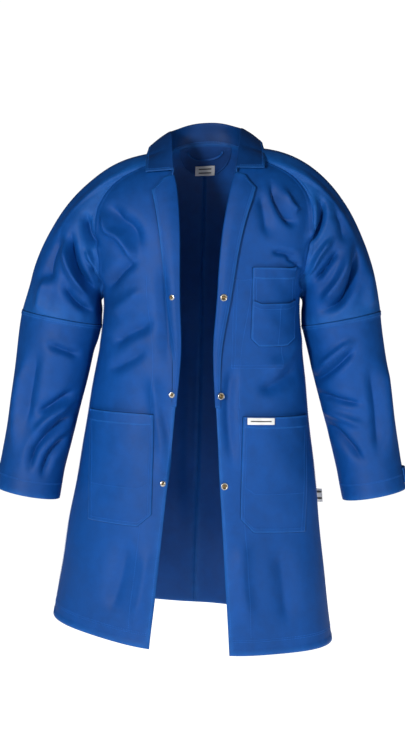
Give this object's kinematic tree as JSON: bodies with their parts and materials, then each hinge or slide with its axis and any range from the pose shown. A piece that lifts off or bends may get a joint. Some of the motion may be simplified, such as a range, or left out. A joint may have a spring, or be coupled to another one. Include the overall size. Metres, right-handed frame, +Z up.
{
  "type": "lab coat",
  "caption": "Knee-length royal-blue lab coat worn open: raglan sleeves, notched collar, patch pockets, snap front and snap cuff tabs.",
  "frame": {"origin": "where the coat sits on the shoulders, midway between the sides of the neck and at the height of the shoulder points of the neckline", "axes": "+Z up, the fronts face -Y, +X is the wearer's left"},
  "size_m": [0.8215, 0.3584, 1.0336],
  "materials": {
    "twill_cloth": "royal-blue polycotton twill, matt with a faint sheen",
    "snap_metal": "nickel-plated snap rings with darker brass centres",
    "label_cloth": "white woven label, blank"
  },
  "bodies": {
    "coat_body": {"back_neck_facing": "twill_cloth", "chest_pocket": "twill_cloth", "collar_fall": "twill_cloth", "collar_stand": "twill_cloth", "inner_breast_pocket": "twill_cloth", "left_back_panel": "twill_cloth", "left_front": "twill_cloth", "left_lapel": "twill_cloth", "left_raglan_sleeve": "twill_cloth", "left_snap_cap_1": "snap_metal", "left_snap_cap_2": "snap_metal", "left_snap_socket_1": "snap_metal", "left_snap_socket_2": "snap_metal", "pen_pocket": "twill_cloth", "right_back_panel": "twill_cloth", "right_front": "twill_cloth", "right_lapel": "twill_cloth", "right_raglan_sleeve": "twill_cloth", "right_snap_ring_1": "snap_metal", "right_snap_ring_2": "snap_metal", "right_snap_stud_1": "snap_metal", "right_snap_stud_2": "snap_metal", "side_flag_label": "label_cloth", "size_label": "label_cloth"},
    "left_front_flap": {"left_front_skirt": "twill_cloth", "left_front_facing": "twill_cloth", "left_lower_pocket": "twill_cloth", "pocket_label": "label_cloth", "left_snap_cap_3": "snap_metal", "left_snap_socket_3": "snap_metal"},
    "right_front_flap": {"right_front_skirt": "twill_cloth", "right_front_facing": "twill_cloth", "right_lower_pocket": "twill_cloth", "right_snap_stud_3": "snap_metal", "right_snap_ring_3": "snap_metal"},
    "left_upper_arm": {"left_elbow_sleeve": "twill_cloth"},
    "right_upper_arm": {"right_elbow_sleeve": "twill_cloth"},
    "left_forearm": {"left_forearm_sleeve": "twill_cloth", "left_cuff_hem": "twill_cloth", "left_cuff_stud": "snap_metal", "left_cuff_stud_ring": "snap_metal"},
    "right_forearm": {"right_forearm_sleeve": "twill_cloth", "right_cuff_hem": "twill_cloth", "right_cuff_stud": "snap_metal", "right_cuff_stud_ring": "snap_metal"},
    "left_cuff_tab_body": {"left_cuff_tab": "twill_cloth", "left_cuff_tab_cap": "snap_metal"},
    "right_cuff_tab_body": {"right_cuff_tab": "twill_cloth", "right_cuff_tab_cap": "snap_metal"},
    "hanger": {"hanger_loop": "twill_cloth"}
  },
  "joints": [
    {"name": "left_front_swing", "type": "hinge", "parent": "coat_body", "child": "left_front_flap", "pos_m": [0.20974, 0, -0.52118], "axis": [-0.1014, 0, 0.9948], "range_deg": [0, 31]},
    {"name": "left_shoulder_lift", "type": "hinge", "parent": "coat_body", "child": "left_upper_arm", "pos_m": [0.27071, 0, -0.32588], "axis": [0, -1, 0], "range_deg": [0, 25], "deforming": ["left_raglan_sleeve"]},
    {"name": "left_elbow_bend", "type": "hinge", "parent": "left_upper_arm", "child": "left_forearm", "pos_m": [0.3055, 0, -0.48866], "axis": [-0.9831, 0, -0.1831], "range_deg": [0, 75], "deforming": ["left_elbow_sleeve"]},
    {"name": "left_cuff_tab_lift", "type": "hinge", "parent": "left_forearm", "child": "left_cuff_tab_body", "pos_m": [0.40177, -0.03552, -0.64482], "axis": [0.1848, -0.1594, -0.9698], "range_deg": [0, 150]},
    {"name": "right_front_swing", "type": "hinge", "parent": "coat_body", "child": "right_front_flap", "pos_m": [-0.224, 0, -0.50882], "axis": [-0.1614, 0, -0.9869], "range_deg": [0, 31]},
    {"name": "right_shoulder_lift", "type": "hinge", "parent": "coat_body", "child": "right_upper_arm", "pos_m": [-0.27529, 0, -0.32412], "axis": [0, 1, 0], "range_deg": [0, 25], "deforming": ["right_raglan_sleeve"]},
    {"name": "right_elbow_bend", "type": "hinge", "parent": "right_upper_arm", "child": "right_forearm", "pos_m": [-0.31059, 0, -0.48585], "axis": [-0.9815, 0, 0.1917], "range_deg": [0, 75], "deforming": ["right_elbow_sleeve"]},
    {"name": "right_cuff_tab_lift", "type": "hinge", "parent": "right_forearm", "child": "right_cuff_tab_body", "pos_m": [-0.40686, -0.03552, -0.64113], "axis": [0.1851, 0.1597, 0.9697], "range_deg": [0, 150]},
    {"name": "hanger_flip", "type": "hinge", "parent": "coat_body", "child": "hanger", "pos_m": [0.006, 0.0499, -0.001], "axis": [-1, 0, 0], "range_deg": [0, 130]}
  ]
}
